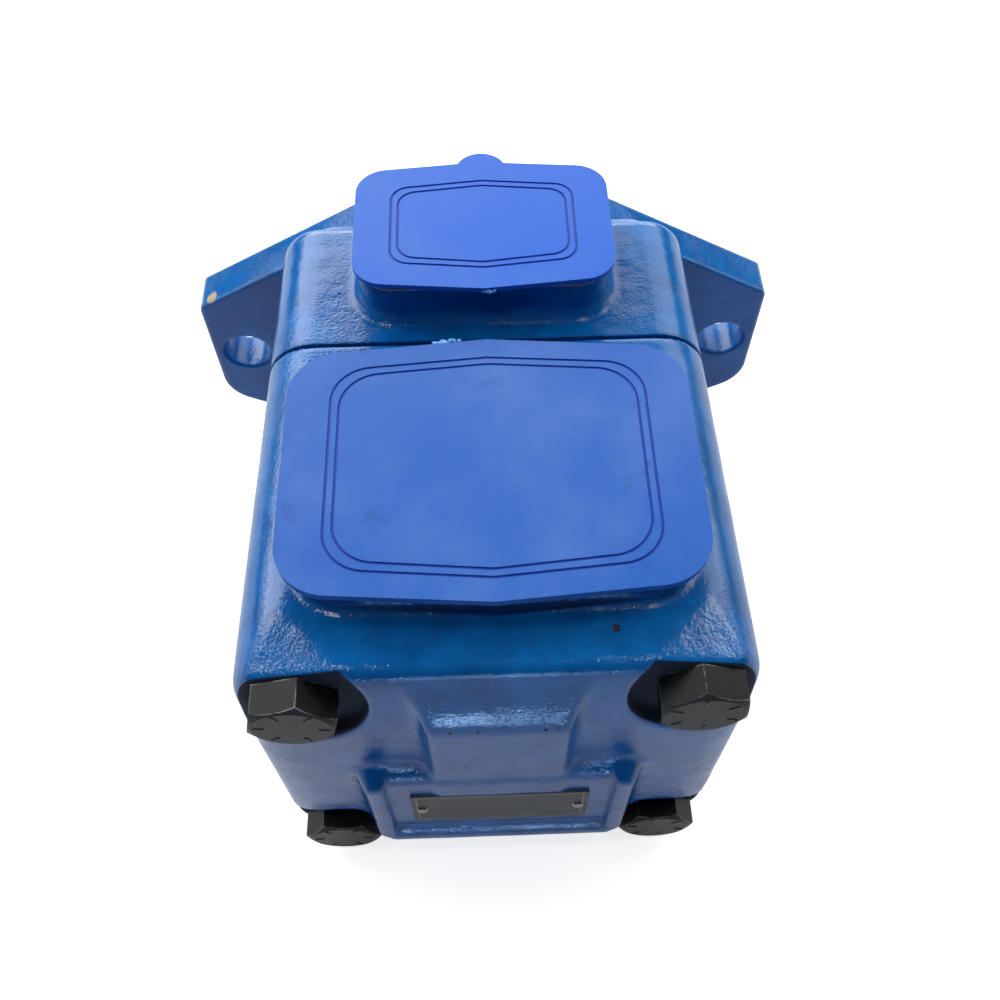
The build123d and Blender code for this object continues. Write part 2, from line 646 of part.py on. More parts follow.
def nameplate_pins():
    face = PLATE_FACE_DEPTH + NAMEPLATE_THICK
    out = pegs(pin_places(), 1.2, PLATE_FACE_DEPTH - 5, face)
    for x, z in pin_places():
        out += Pos(x, 0, z) * turned([(0, face), (2.0, face), (1.7, face + 0.6), (0.9, face + 0.9), (0, face + 0.9)])
    return out


nodes = {
    "front_body": front_body(),
    "rear_cover": rear_cover() - pegs(pin_places(), 1.2, PLATE_FACE_DEPTH - 5.1, PLATE_FACE_DEPTH + 1),
    "cover_screws": cover_screws(),
    "body_seal": body_seal(),
    "outlet_port_cap": outlet_port_cap(),
    "inlet_port_cap": inlet_port_cap(),
    "nameplate": nameplate(),
    "nameplate_pins": nameplate_pins(),
    "drive_shaft": drive_shaft(),
    "shaft_key": key_block(),
    "bearing_outer_race": bearing_outer_race(),
    "bearing_inner_race": bearing_inner_race(),
    "bearing_balls": bearing_balls(),
    "bearing_cage": bearing_cage(),
    "bearing_retaining_ring": bearing_retaining_ring(),
    "shaft_retaining_ring": shaft_retaining_ring(),
    "shaft_seal_case": shaft_seal_case(),
    "shaft_seal_lip": shaft_seal_lip(),
    "shaft_seal_spring": shaft_seal_spring(),
    "outlet_support_plate": outlet_support_plate(),
    "plate_outer_seal": plate_outer_seal(),
    "plate_hub_seal": plate_hub_seal(),
    "front_flex_plate": flex_plate(flex_front),
    "cam_ring": cam_ring(),
    "rotor": rotor(),
    "vane_inserts": vane_inserts(),
    "rear_flex_plate": flex_plate(ring_rear),
    "inlet_support_plate": inlet_support_plate(),
    "tail_bushing": tail_bushing(),
    "cartridge_screws": cartridge_screws(),
    "cartridge_dowels": cartridge_dowels(),
}
for number in range(VANE_COUNT):
    nodes[f"vane_{number + 1:02d}"] = vane(number)

os.makedirs("parts", exist_ok=True)
for name, shape in nodes.items():
    export_step(shape, f"parts/{name}.step")
    box = shape.bounding_box()
    print(f"{name:24s} solids {len(shape.solids()):2d}  volume {shape.volume:12.1f}  "
          f"x {box.min.X:7.1f} {box.max.X:7.1f}  y {box.min.Y:7.1f} {box.max.Y:7.1f}  z {box.min.Z:6.1f} {box.max.Z:6.1f}")
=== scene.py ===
import bpy
import bmesh
import math
import numpy as np
from mathutils import Vector, Matrix, noise


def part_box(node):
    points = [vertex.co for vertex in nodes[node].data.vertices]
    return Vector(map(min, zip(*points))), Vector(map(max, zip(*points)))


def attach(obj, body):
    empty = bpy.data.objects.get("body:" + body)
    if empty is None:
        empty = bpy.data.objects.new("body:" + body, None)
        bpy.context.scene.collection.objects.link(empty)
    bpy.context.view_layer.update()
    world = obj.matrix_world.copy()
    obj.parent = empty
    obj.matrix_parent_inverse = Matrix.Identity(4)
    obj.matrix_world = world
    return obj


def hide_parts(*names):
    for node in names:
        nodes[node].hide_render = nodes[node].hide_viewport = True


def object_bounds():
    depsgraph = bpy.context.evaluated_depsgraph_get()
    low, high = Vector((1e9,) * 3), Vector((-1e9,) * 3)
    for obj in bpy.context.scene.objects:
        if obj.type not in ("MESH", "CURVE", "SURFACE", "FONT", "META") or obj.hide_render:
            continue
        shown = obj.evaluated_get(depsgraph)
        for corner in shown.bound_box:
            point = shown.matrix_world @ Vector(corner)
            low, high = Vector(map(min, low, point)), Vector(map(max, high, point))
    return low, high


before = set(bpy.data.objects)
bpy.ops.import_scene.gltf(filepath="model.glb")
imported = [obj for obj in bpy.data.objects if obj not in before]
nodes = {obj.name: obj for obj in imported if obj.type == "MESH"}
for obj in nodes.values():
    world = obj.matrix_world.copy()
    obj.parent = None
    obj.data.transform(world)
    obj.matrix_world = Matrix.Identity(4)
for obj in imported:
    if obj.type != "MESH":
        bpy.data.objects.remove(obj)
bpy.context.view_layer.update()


# a socket that can be written in sums; every node but Math comes from Finish.node
class Link:
    def __init__(self, tree, socket):
        self.tree = tree
        self.socket = socket

    def math(self, operation, *terms):
        made = self.tree.nodes.new("ShaderNodeMath")
        made.operation = operation
        for slot, term in zip(made.inputs, terms):
            if isinstance(term, Link):
                self.tree.links.new(term.socket, slot)
            else:
                slot.default_value = term
        return Link(self.tree, made.outputs[0])

    def __add__(self, other): return self.math("ADD", self, other)
    def __radd__(self, other): return self.math("ADD", other, self)
    def __sub__(self, other): return self.math("SUBTRACT", self, other)
    def __rsub__(self, other): return self.math("SUBTRACT", other, self)
    def __mul__(self, other): return self.math("MULTIPLY", self, other)
    def __rmul__(self, other): return self.math("MULTIPLY", other, self)
    def __pow__(self, other): return self.math("POWER", self, other)
    def __abs__(self): return self.math("ABSOLUTE", self)
    def __gt__(self, other): return self.math("GREATER_THAN", self, other)
    def __lt__(self, other): return self.math("LESS_THAN", self, other)
    def most(self, other): return self.math("MAXIMUM", self, other)
    def least(self, other): return self.math("MINIMUM", self, other)


class Finish:
    def __init__(self, name, owner=None, coordinates="Object"):
        self.material = owner or bpy.data.materials.new(name)      # the world has a tree of its own
        self.material.use_nodes = True
        self.tree = self.material.node_tree
        self.tree.nodes.clear()
        self.place = self.node("ShaderNodeTexCoord", out=coordinates)

    def node(self, kind, settings=None, values=None, out=0):
        made = self.tree.nodes.new(kind)
        for key, value in (settings or {}).items():
            setattr(made, key, value)
        for key, value in (values or {}).items():
            if isinstance(value, Link):
                self.tree.links.new(value.socket, made.inputs[key])
            else:
                made.inputs[key].default_value = value
        if out == "each":
            return [Link(self.tree, socket) for socket in made.outputs]
        return Link(self.tree, made.outputs[out]) if len(made.outputs) else None

    def noise(self, scale, detail=3.0, rough=0.5, vector=None):
        values = {"Vector": vector or self.place, "Scale": scale, "Detail": detail, "Roughness": rough}
        return self.node("ShaderNodeTexNoise", {}, values)

    def band(self, value, low, high):
        # 0 below low, 1 above high, eased between
        return self.node("ShaderNodeMapRange", {"interpolation_type": "SMOOTHSTEP"},
                         {"Value": value, "From Min": low, "From Max": high})

    def blend(self, factor, first, second):
        return self.node("ShaderNodeMix", {"data_type": "RGBA"}, {0: factor, 6: first, 7: second}, 2)

    def axes(self):
        return self.node("ShaderNodeSeparateXYZ", {}, {"Vector": self.place}, "each")

    def facing(self):
        normal = self.node("ShaderNodeNewGeometry", out="Normal")
        return self.node("ShaderNodeSeparateXYZ", {}, {"Vector": normal}, "each")

    def away(self, spot):
        # distance from a spot
        return self.node("ShaderNodeVectorMath", {"operation": "DISTANCE"}, {0: self.place, 1: spot}, "Value")

    def edges(self, radius, low=0.02, high=0.12):
        # 1 along sharp edges, where the rounded and the true normal part
        rounded = self.node("ShaderNodeBevel", {"samples": 6}, {"Radius": radius})
        flat = self.node("ShaderNodeNewGeometry", out="Normal")
        same = self.node("ShaderNodeVectorMath", {"operation": "DOT_PRODUCT"}, {0: rounded, 1: flat}, "Value")
        return self.band(1 - same, low, high)

    def bump(self, height, depth, normal=None):
        values = {"Height": height, "Distance": depth, "Strength": 1.0}
        if normal:
            values["Normal"] = normal
        return self.node("ShaderNodeBump", {}, values)

    def surface(self, values):
        shader = self.node("ShaderNodeBsdfPrincipled", {}, values)
        self.node("ShaderNodeOutputMaterial", {}, {"Surface": shader})
        return self.material


def rgb(r, g, b):
    # written as display values 0 to 255
    def linear(v):
        v /= 255
        return v / 12.92 if v <= 0.04045 else ((v + 0.055) / 1.055) ** 2.4
    return (linear(r), linear(g), linear(b), 1.0)


def wear(material, *names):
    for name in names:
        nodes[name].data.materials.clear()
        nodes[name].data.materials.append(material)


# the two castings: blue gloss enamel over sand-cast iron

castPaint = {
    "deep": rgb(3, 92, 164), "light": rgb(6, 110, 188), "dark": rgb(4, 50, 104),
    # the near-black colour for the screw pockets is painted shade
    "bare": rgb(206, 196, 170), "chip": rgb(168, 152, 120), "rust": rgb(60, 30, 22), "pocketShade": rgb(5, 9, 16),
    "roughness": 0.13, "gloss": 1.46, "edgeRound": 0.0015,
    "peelScale": 1050, "peelDepth": 0.00013, "sandScale": 2200, "sandDepth": 0.00007,
    "waveScale": 110, "waveDepth": 0.0003, "speckCut": 0.775,
    # screwAt and the two entries after it place the painted shade in the screw pockets
    "screwAt": 0.0529, "pocketShadeReach": 0.0191, "pocketShadeFrom": -0.1755,
}
castingFlaws = {
    "bodyChip": (-0.0985, -0.012, 0.0275),
    "coverChip": (0.03, -0.168, 0.9),                   # out of reach: the cover has none
    "bodyPits": [((0.02, -0.066, 0.0676), 0.0007), ((-0.045, -0.05, 0.0676), 0.0006)],
    "coverPits": [((0.0305, -0.1665, 0.0674), 0.0012), ((-0.0055, -0.1853, 0.0478), 0.0008),
                  ((-0.0128, -0.1853, 0.048), 0.001), ((0.0085, -0.1853, 0.0478), 0.0007),
                  ((0.0122, -0.1853, 0.0480), 0.0009), ((0.0152, -0.1853, 0.0480), 0.0008)],
}
padTops = {"outlet": 0.0810, "inlet": 0.0750}           # machined faces, left unpainted


def blueEnamel(name, padTop, bareSpot, pitSpots):
    c = castPaint
    f = Finish(name)
    x, y, z = f.axes()
    mottle = f.noise(14, 4, 0.6)
    colour = f.blend(f.band(mottle, 0.3, 0.7), c["deep"], c["light"])
    thick = f.band(f.noise(90, 3, 0.6), 0.35, 0.7)      # paint runs thin on the sand grains
    colour = f.blend(thick * 0.35, colour, c["dark"])
    machined = f.band(z, padTop - 0.0007, padTop - 0.0003)
    colour = f.blend(machined, colour, c["bare"])
    chip = 1 - f.band(f.away(bareSpot) + f.noise(420, 3) * 0.003, 0.0032, 0.0042)
    colour = f.blend(chip, colour, c["chip"])
    pit = chip * 0
    for spot, size in pitSpots:
        pit = pit.most(1 - f.band(f.away(spot) + f.noise(700, 2) * 0.0012, size, size + 0.0005))
    colour = f.blend(pit, colour, c["rust"])
    sideways = (abs(x) - c["screwAt"]) ** 2.0 + (abs(z) - c["screwAt"]) ** 2.0
    pocket = 1 - f.band(sideways, c["pocketShadeReach"] ** 2, (c["pocketShadeReach"] + 0.0007) ** 2)
    pocketShade = pocket * (y < c["pocketShadeFrom"])             # painted shade: near-black colour inside the screw pockets round the heads
    colour = f.blend(pocketShade * 0.93, colour, c["pocketShade"])
    specks = f.band(f.noise(620, 2, 0.5), c["speckCut"], c["speckCut"] + 0.015)
    colour = f.blend(specks * 0.8, colour, c["rust"])
    soft = f.node("ShaderNodeBevel", {"samples": 4}, {"Radius": c["edgeRound"]})
    grainy = f.band(f.noise(22, 3, 0.6), 0.38, 0.66)    # some areas were cast rougher than others
    peel = f.noise(c["peelScale"], 1.5, 0.5)
    sand = f.noise(c["sandScale"], 2, 0.5) * grainy
    shape = f.bump(f.noise(c["waveScale"], 2, 0.45), c["waveDepth"], soft)
    shape = f.bump(peel * (0.5 + grainy * 0.8) - pit * 6 - specks * 2, c["peelDepth"], shape)
    shape = f.bump(sand, c["sandDepth"], shape)
    rough = c["roughness"] + f.band(f.noise(9, 3), 0.35, 0.75) * 0.07
    rough = rough + machined * 0.3 + chip * 0.35 + pit * 0.4 + pocketShade * 0.7
    return f.surface({"Base Color": colour, "Roughness": rough, "Normal": shape, "IOR": c["gloss"]})


wear(blueEnamel("bodyEnamel", padTops["outlet"], castingFlaws["bodyChip"], castingFlaws["bodyPits"]), "front_body")
wear(blueEnamel("coverEnamel", padTops["inlet"], castingFlaws["coverChip"], castingFlaws["coverPits"]), "rear_cover")
print("castings painted")

# rear cover casting, as one soft skin with run-out fillets
# lengths here are millimetres; d is depth behind the mounting face

coverForm = {
    "cell": 0.8, "waviness": 0.10, "front": 71.15, "rollStart": 173.5, "faceDepth": 181.4, "faceBlend": 4.5,
    "wallHalf": 67.6, "wallCorner": 16, "sideDraft": 1.8, "topDraft": -0.15,
    "facetTop": (51, 161.5), "facetInner": (37, 175.5, 0), "facetOuter": (57, 175.5, -3.4),
    "plateFace": 186.2, "stemHalf": 18.6, "stemTop": 60.3, "stemEnd": -5, "browAt": 50.5, "browSlope": (0.835, 0.55),
    "padHalf": 37.8, "padTop": 7.5, "padBottom": -43.5, "padCorner": 3,
    "ridge": 2.6, "windowHalf": 33.2, "windowBottom": -36.6,
    "inletDepth": 121.0, "inletTop": 75.0, "inletHalf": (51, 37, 13), "inletFoot": 5.0, "inletBore": 25.4,
    "tapAt": (38.9, 21.45), "tapRadius": 6.35, "tapEnd": 57, "chamber": 58.0, "chamberEnd": 146.0, "recess": (18, 6),
    "screwHalf": 52.9, "spotface": 176.3, "pocketRadius": 19.0, "screwHole": 7.9,
}


def softMin(a, b, k):
    h = np.maximum(k - np.abs(a - b), 0) / k
    return np.minimum(a, b) - h * h * k * 0.25


def softMax(a, b, k):
    return -softMin(-a, -b, k)


def roundedRect(x, z, halfX, halfZ, radius):
    qx = np.abs(x) - halfX + radius
    qz = np.abs(z) - halfZ + radius
    return np.hypot(np.maximum(qx, 0), np.maximum(qz, 0)) + np.minimum(np.maximum(qx, qz), 0) - radius


def coverField(x, d, z):
    c = coverForm
    ax, az = np.abs(x), np.abs(z)
    t = (d - c["front"]) / (c["rollStart"] - c["front"])
    wall = roundedRect(x, z, c["wallHalf"] + c["sideDraft"] * t, c["wallHalf"] + c["topDraft"] * t, c["wallCorner"] + t)
    sag = 0.0027 * np.maximum(az - 30, 0) ** 2 + 0.026 * np.maximum(ax - 56, 0) ** 2      # the rear face falls away
    body = softMax(wall, (d - c["faceDepth"] + sag) * 0.97, c["faceBlend"])

    # inlet pad with its foot fillet
    wide, deep, corner = c["inletHalf"]
    along = d - c["inletDepth"]
    pad = softMax(roundedRect(x, along, wide, deep, corner), z - c["inletTop"], 0.8)
    body = softMin(body, np.maximum(pad, 40 - z), c["inletFoot"])

    # corner facets that dip to the screw seats
    top = Vector((*c["facetTop"], 0))
    tilt = (Vector(c["facetInner"]) - top).cross(Vector(c["facetOuter"]) - top).normalized()
    if tilt.z < 0:
        tilt = -tilt
    facet = (ax - top.x) * tilt.x + (d - top.y) * tilt.y + (az - c["wallHalf"]) * tilt.z
    body = softMax(body, facet, 0.5)

    # stem with its brow; out is how far in front of the plate's face a point lies
    out = c["plateFace"] - d
    browOut, browUp = c["browSlope"]
    stem = softMax(ax - c["stemHalf"] - 0.5 * out, -out, 1.6)
    stem = softMax(stem, (1.6 - out) * browOut + (z - c["browAt"]) * browUp, 1.6)
    stem = softMax(stem, z - c["stemTop"] + 0.4 - 0.1 * out, 2.2)
    stem = np.maximum(np.maximum(stem, c["stemEnd"] - z), out - 13)
    body = softMin(body, stem * 0.94, 3.6)

    # raised pad that carries the plate, and the lip round it
    middle = (c["padTop"] + c["padBottom"]) / 2
    high = (c["padTop"] - c["padBottom"]) / 2
    plate = roundedRect(x, z - middle, c["padHalf"], high, c["padCorner"]) - 1.05 * out
    plate = np.maximum(softMax(plate * 0.72, -out, 1.6), out - 12)
    body = softMin(body, plate, 2.6)
    lip = roundedRect(x, z - middle, c["padHalf"] + 1.0, high + 1.0, c["padCorner"]) - 0.5 * (out + c["ridge"])
    lip = softMax(lip * 0.9, -out - c["ridge"], 0.9)
    spread = np.clip(-out, 0, c["ridge"])               # the lip's inner sides lean outwards
    window = softMax(ax - c["windowHalf"] - 0.5 * spread, c["windowBottom"] - 1.25 * spread - z, 1.6)
    lip = softMax(lip, -window * 0.75, 0.9)
    body = softMin(body, np.maximum(lip, out - 3), 1.0)

    # screw pockets and holes, port bore and taps, chamber
    reach = np.hypot(ax - c["screwHalf"], az - c["screwHalf"])
    body = softMax(body, -softMax(reach - c["pocketRadius"], c["spotface"] - d, 1.6), 1.6)
    body = np.maximum(body, c["screwHole"] - reach)
    tapX, tapD = c["tapAt"]
    recessRadius, recessDeep = c["recess"]
    bore = np.maximum(np.hypot(x, along) - c["inletBore"], 30 - z)
    taps = np.maximum(np.hypot(ax - tapX, np.abs(along) - tapD) - c["tapRadius"], c["tapEnd"] - z)
    chamber = np.maximum(np.hypot(x, z) - c["chamber"], d - c["chamberEnd"])
    recess = np.maximum(np.hypot(x, z) - recessRadius, d - c["chamberEnd"] - recessDeep)
    for hollow in (bore, taps, chamber, recess):
        body = np.maximum(body, -hollow)
    return np.maximum(body, c["front"] - d)


def skinOf(field, low, cell):
    # one vertex in every cell that the surface crosses, one quad round every crossed edge
    inside = field < 0
    n = [s - 1 for s in field.shape]
    corners = [(i, j, k) for i in (0, 1) for j in (0, 1) for k in (0, 1)]

    def at(grid, c):
        return grid[c[0]:c[0] + n[0], c[1]:c[1] + n[1], c[2]:c[2] + n[2]]

    count = sum(at(inside, c).astype(np.int8) for c in corners)
    active = (count > 0) & (count < 8)
    number = np.full(active.shape, -1, dtype=np.int64)
    number[active] = np.arange(active.sum())
    total = np.zeros((active.sum(), 3))
    hits = np.zeros(active.sum())
    for a in corners:
        for axis in range(3):
            if a[axis]:
                continue
            b = tuple(1 if m == axis else a[m] for m in range(3))
            va, vb = at(field, a)[active], at(field, b)[active]
            crossed = (va < 0) != (vb < 0)
            share = np.where(crossed, va / np.where(crossed, va - vb, 1), 0)
            point = np.array(a) + share[:, None] * np.eye(3)[axis]
            total += point * crossed[:, None]
            hits += crossed
    verts = (np.argwhere(active) + total / hits[:, None]) * cell + np.array(low)
    quads = []
    for axis in range(3):
        u, v = [m for m in range(3) if m != axis]
        first = [slice(1, -1)] * 3
        first[axis] = slice(0, n[axis])
        second = list(first)
        second[axis] = slice(1, n[axis] + 1)
        a, b = inside[tuple(first)], inside[tuple(second)]
        where = np.argwhere(a != b)
        solidFirst = a[a != b]
        where[:, u] += 1
        where[:, v] += 1
        ring = []
        for du, dv in ((-1, -1), (0, -1), (0, 0), (-1, 0)):
            cellAt = where.copy()
            cellAt[:, u] += du
            cellAt[:, v] += dv
            ring.append(number[cellAt[:, 0], cellAt[:, 1], cellAt[:, 2]])
        ring = np.stack(ring, axis=1)
        flip = solidFirst if axis != 1 else ~solidFirst
        ring[~flip] = ring[~flip][:, ::-1]
        quads.append(ring)
    return verts, np.concatenate(quads)


def castCover():
    c = coverForm
    low = (-72.0, c["front"] - 2.3, -70.0)
    high = (72.0, 191.5, 77.5)
    axes = [np.arange(a, b, c["cell"]) for a, b in zip(low, high)]
    x, d, z = np.meshgrid(*axes, indexing="ij", sparse=True)
    verts, quads = skinOf(coverField(x, d, z), low, c["cell"])
    # depth runs towards -y, which turns the faces over
    points = np.stack([verts[:, 0], -verts[:, 1], verts[:, 2]], axis=1) / 1000
    mesh = bpy.data.meshes.new("coverCasting")
    mesh.from_pydata(points.tolist(), [], quads[:, ::-1].tolist())
    mesh.shade_smooth()
    piece = bpy.data.objects.new("coverCasting", mesh)
    bpy.context.collection.objects.link(piece)
    # slow waviness of a sand casting, but not inside or on the machined faces
    normals = np.empty(len(points) * 3)
    mesh.vertices.foreach_get("normal", normals)
    cast = (verts[:, 1] > 75) & (verts[:, 2] < 73.5) & (np.hypot(verts[:, 0], verts[:, 2]) > 60)
    cast |= verts[:, 1] > 155
    sway = np.array([noise.noise(Vector(p) * 90) if wavy else 0 for p, wavy in zip(points, cast)])
    points += normals.reshape(-1, 3) * (sway * c["waviness"] / 1000)[:, None]
    mesh.vertices.foreach_set("co", points.ravel())
    mesh.update()
    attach(piece, "housing")
    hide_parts("rear_cover")
    mesh.materials.append(nodes["rear_cover"].data.materials[0])
    print("cover cast with", len(mesh.vertices), "points")


castCover()

# port caps: soft moulded plastic, the large one older and scuffed
capPlastic = {
    "small": rgb(17, 92, 200), "large": rgb(34, 93, 180), "smallScuffs": 0.15, "largeScuffs": 0.5,
    # the darker blue for the engraved groove floors is painted shade
    "bleach": rgb(80, 120, 192), "scuff": rgb(30, 54, 124), "line": rgb(16, 60, 168), "lineDepth": 0.00025,
    "roughness": 0.4, "gloss": 1.37,
}


def mouldedCap(name, tone, top, scuffs):
    c = capPlastic
    f = Finish(name)
    z = f.axes()[2]
    haze = f.noise(22, 5, 0.62)
    colour = f.blend(f.band(haze, 0.42, 0.75) * (0.25 + scuffs * 0.5), tone, c["bleach"])
    rub = f.noise(70, 6, 0.7)
    colour = f.blend(f.band(rub, 0.57, 0.75) * scuffs, colour, c["scuff"])
    grain = f.noise(340, 3, 0.7)
    colour = f.blend(f.band(grain, 0.66, 0.74) * scuffs * 0.5, colour, c["scuff"])
    # painted shade: the floors of the engraved grooves are coloured darker blue, where shade falls in them
    groove = (1 - f.band(z, top - c["lineDepth"], top - 0.0001)) * (f.facing()[2] > 0.9)
    colour = f.blend(groove * 0.9, colour, c["line"])
    shape = f.bump(f.noise(900, 2) * 0.3 + f.noise(34, 2) * 1.5, 0.00008)
    rough = c["roughness"] + f.band(haze, 0.3, 0.7) * 0.14
    return f.surface({"Base Color": colour, "Roughness": rough, "Normal": shape, "IOR": c["gloss"]})


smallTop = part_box("outlet_port_cap")[1][2]
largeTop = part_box("inlet_port_cap")[1][2]
wear(mouldedCap("smallCapPlastic", capPlastic["small"], smallTop, capPlastic["smallScuffs"]), "outlet_port_cap")
wear(mouldedCap("largeCapPlastic", capPlastic["large"], largeTop, capPlastic["largeScuffs"]), "inlet_port_cap")
print("caps moulded")

# gate nub on the small cap's near edge and a torn flash on the large cap's far edge
# lumps: offset x, y, z, then half width and half height
mouldingScraps = {
    "smallCapNub": {
        "body": "outlet_cap", "at": (0.0012, -0.0652, 0.0828), "tone": capPlastic["small"],
        "lumps": [(0, 0, 0, 0.0011, 0.0008), (0.0016, 0.0001, 0.0003, 0.0006, 0.0005),
                  (-0.0015, 0.0003, -0.0002, 0.0007, 0.0005)],
    },
    "largeCapFlash": {
        "body": "inlet_cap", "at": (-0.0125, -0.0795, 0.0776), "tone": rgb(60, 150, 214),
        "lumps": [(0, 0, 0, 0.0016, 0.0004), (0.0026, 0.0004, 0.0002, 0.0012, 0.0005),
                  (-0.0022, -0.0004, 0.0001, 0.0011, 0.0003), (0.0046, 0.0007, -0.0001, 0.0007, 0.0003)],
    },
}
scrapLook = {"torn": rgb(120, 176, 236), "rag": 0.0003, "seed": 5, "roughness": 0.5}


def tornPlastic(name, tone):
    f = Finish(name)
    torn = f.band(f.noise(800, 3), 0.4, 0.62)
    colour = f.blend(torn, tone, scrapLook["torn"])
    return f.surface({"Base Color": colour, "Roughness": scrapLook["roughness"] + torn * 0.2,
                      "Normal": f.bump(f.noise(1500), 0.00005)})


def scrap(name, body, at, tone, lumps):
    noise.seed_set(scrapLook["seed"])                   # the clock seeds vector noise otherwise
    bm = bmesh.new()
    for dx, dy, dz, wide, tall in lumps:
        spot = Matrix.Translation(Vector(at) + Vector((dx, dy, dz))) @ Matrix.Diagonal((wide, wide * 0.6, tall, 1))
        bmesh.ops.create_icosphere(bm, subdivisions=3, radius=1, matrix=spot)
    for v in bm.verts:
        v.co += noise.noise_vector(v.co * 900) * scrapLook["rag"]
    mesh = bpy.data.meshes.new(name)
    bm.to_mesh(mesh)
    bm.free()
    mesh.shade_smooth()
    piece = bpy.data.objects.new(name, mesh)
    bpy.context.collection.objects.link(piece)
    mesh.materials.append(tornPlastic(name + "Plastic", tone))
    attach(piece, body)


for scrapName, values in mouldingScraps.items():
    scrap(scrapName, **values)
print("moulding leftovers added")

# steels and bronze
metals = {
    "blackOxide": {"tone": rgb(9, 10, 12), "worn": rgb(30, 31, 33), "rough": 0.36, "metal": 0.2, "grain": 700,
                   "gloss": 1.28, "paleEdge": 0.0006},
    "groundSteel": {"tone": rgb(150, 152, 156), "worn": rgb(188, 190, 194), "rough": 0.24, "metal": 1.0, "grain": 500},
    "bearingSteel": {"tone": rgb(186, 188, 192), "worn": rgb(206, 208, 212), "rough": 0.12, "metal": 1.0, "grain": 300},
    "pressedSteel": {"tone": rgb(140, 138, 130), "worn": rgb(170, 168, 160), "rough": 0.34, "metal": 1.0, "grain": 200},
    "phosphate": {"tone": rgb(52, 53, 56), "worn": rgb(84, 85, 88), "rough": 0.48, "metal": 0.8, "grain": 400},
    "castIron": {"tone": rgb(92, 93, 95), "worn": rgb(128, 128, 130), "rough": 0.4, "metal": 0.9, "grain": 120},
    "hardSteel": {"tone": rgb(120, 122, 128), "worn": rgb(160, 162, 168), "rough": 0.26, "metal": 1.0, "grain": 350},
    "bronze": {"tone": rgb(150, 108, 60), "worn": rgb(186, 142, 86), "rough": 0.3, "metal": 1.0, "grain": 250},
}
paleEdgeTone = rgb(150, 150, 148)


def metal(name):
    m = metals[name]
    f = Finish(name)
    cloud = f.noise(40, 4, 0.6)
    fine = f.noise(m["grain"], 3, 0.6)
    colour = f.blend(f.band(cloud * 0.6 + fine * 0.4, 0.35, 0.72), m["tone"], m["worn"])
    if "paleEdge" in m:
        # the sharp edges of the heads are painted paler grey, in noisy patches
        paleEdges = f.edges(m["paleEdge"]) * f.band(f.noise(160, 4, 0.7), 0.4, 0.62)
        colour = f.blend(paleEdges, colour, paleEdgeTone)
    rough = m["rough"] + (fine - 0.5) * 0.18
    shape = f.bump(fine, 0.00002)
    return f.surface({"Base Color": colour, "Roughness": rough, "Metallic": m["metal"], "Normal": shape,
                      "IOR": m.get("gloss", 1.5)})


wear(metal("blackOxide"), "cover_screws", "cartridge_screws")
wear(metal("groundSteel"), "drive_shaft", "shaft_key")
wear(metal("bearingSteel"), "bearing_outer_race", "bearing_inner_race", "bearing_balls")
wear(metal("pressedSteel"), "bearing_cage", "shaft_seal_case")
wear(metal("phosphate"), "bearing_retaining_ring", "shaft_retaining_ring", "shaft_seal_spring")
wear(metal("castIron"), "outlet_support_plate", "inlet_support_plate")
wear(metal("bronze"), "front_flex_plate", "rear_flex_plate", "tail_bushing")
vaneNames = [n for n in nodes if n.startswith("vane_")]
wear(metal("hardSteel"), "cam_ring", "rotor", "cartridge_dowels", *vaneNames)
print("metal pieces finished")

rubber = {"tone": rgb(20, 20, 21), "bloom": rgb(46, 46, 47), "roughness": 0.55}


def sealRubber():
    f = Finish("sealRubber")
    bloom = f.band(f.noise(60, 4, 0.6), 0.45, 0.8)
    colour = f.blend(bloom, rubber["tone"], rubber["bloom"])
    return f.surface({"Base Color": colour, "Roughness": rubber["roughness"] + bloom * 0.2,
                      "Normal": f.bump(f.noise(900, 2), 0.00002)})


wear(sealRubber(), "body_seal", "plate_outer_seal", "plate_hub_seal", "shaft_seal_lip")
print("seals finished")

# nameplate: brushed, bare, with a raised rim line
plateLook = {"tone": rgb(58, 61, 63), "worn": rgb(98, 100, 100), "rim": rgb(128, 130, 130), "rimInset": 0.0016,
             "metal": 0.7, "roughness": 0.38}


def plateSheet():
    c = plateLook
    f = Finish("plateSheet")
    x, y, z = f.axes()
    low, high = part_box("nameplate")
    halfX = high[0] - c["rimInset"]
    halfZ = (high[2] - low[2]) / 2 - c["rimInset"]
    inX = (abs(x) - halfX) * -1
    inZ = (abs(z - (low[2] + high[2]) / 2) - halfZ) * -1
    rim = 1 - f.band(abs(inX.least(inZ)), 0.00012, 0.0003)
    brushed = f.node("ShaderNodeMapping", {}, {"Vector": f.place, "Scale": (60, 60, 1400)})
    streak = f.noise(1.0, 4, 0.6, brushed)
    colour = f.blend(f.band(streak, 0.3, 0.8), c["tone"], c["worn"])
    colour = f.blend(rim, colour, c["rim"])
    return f.surface({"Base Color": colour, "Metallic": c["metal"], "Roughness": c["roughness"] + streak * 0.15,
                      "Normal": f.bump(streak - rim * 2, 0.00002)})


wear(plateSheet(), "nameplate")
wear(metal("pressedSteel"), "nameplate_pins")
print("nameplate finished")

# grade dashes on the screw heads
gradeMarks = {"count": 6, "inner": 0.0068, "outer": 0.0098, "width": 0.0009, "height": 0.00025, "sink": 0.00005,
              "rounding": 0.00008, "headTurn": 8}


def screwCentres():
    low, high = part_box("cover_screws")
    mesh = nodes["cover_screws"].data
    rear = low[1]
    out = []
    for sx in (-1, 1):
        for sz in (-1, 1):
            ring = [v.co for v in mesh.vertices if v.co.x * sx > 0 and v.co.z * sz > 0 and v.co.y < rear + 0.0001]
            xs = [c.x for c in ring]
            zs = [c.z for c in ring]
            out.append(((min(xs) + max(xs)) / 2, rear, (min(zs) + max(zs)) / 2))
    return out


